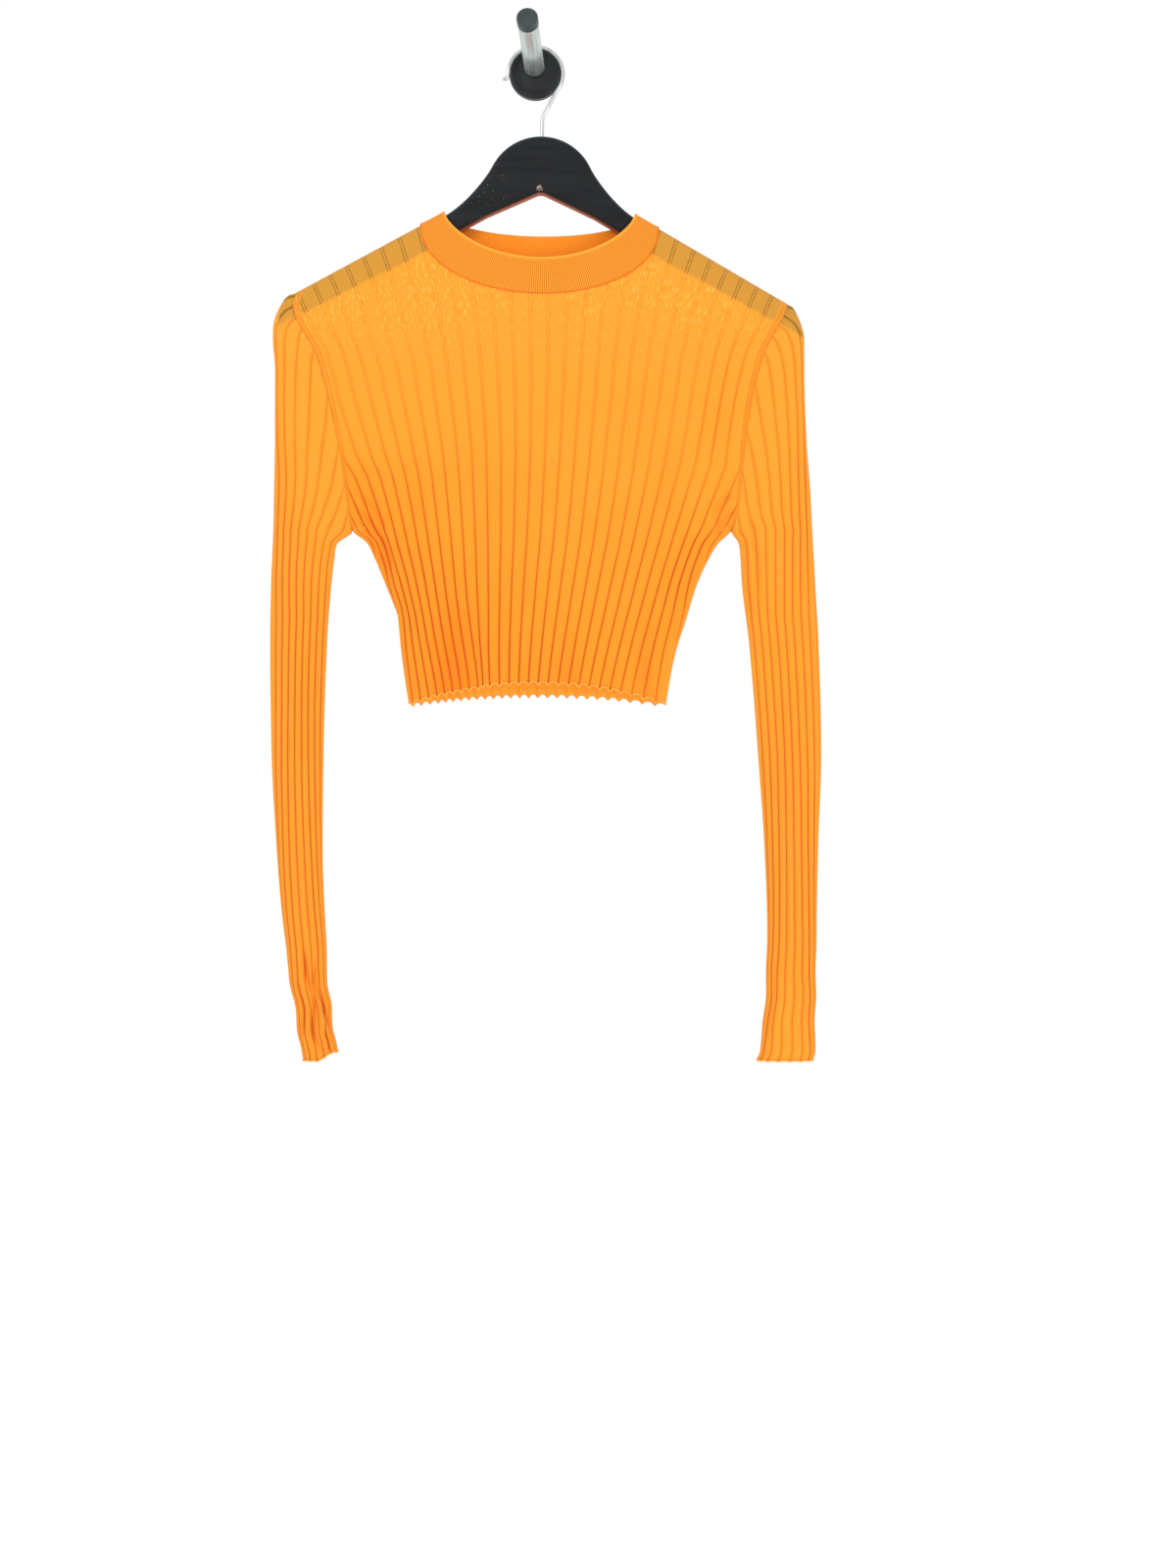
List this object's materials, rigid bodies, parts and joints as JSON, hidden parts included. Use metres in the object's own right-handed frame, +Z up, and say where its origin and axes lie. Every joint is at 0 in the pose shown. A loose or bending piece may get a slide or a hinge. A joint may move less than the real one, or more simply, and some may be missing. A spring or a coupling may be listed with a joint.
{
  "type": "ribbed knit sweater on a wooden hanger and wall peg",
  "caption": "Cropped long-sleeve sweater in wide rib knit with a rib neckband, on a flat wooden hanger whose wire hook hangs on a wall peg.",
  "frame": {"origin": "centre of the peg plate's back face, on the wall", "axes": "+Z up, +X to the right of someone facing the wall, +Y into the wall; the sweater's front faces -Y"},
  "size_m": [0.45, 0.08, 0.8408],
  "materials": {
    "rib_knit": "matte fine-gauge rib knit, slightly sheer",
    "band_knit": "matte double-layer narrow rib",
    "painted_wood": "worn black satin paint over wood",
    "hook_wire": "bright plated wire",
    "peg_chrome": "polished chrome",
    "black_plastic": "satin black moulded plastic"
  },
  "bodies": {
    "root": {"front": "rib_knit", "back": "rib_knit", "sleeve_left": "rib_knit", "sleeve_right": "rib_knit", "neckband": "band_knit", "hanger_body": "painted_wood", "hanger_hook": "hook_wire", "peg_plate": "black_plastic", "peg_rod": "peg_chrome", "peg_cap": "black_plastic"}
  },
  "joints": []
}
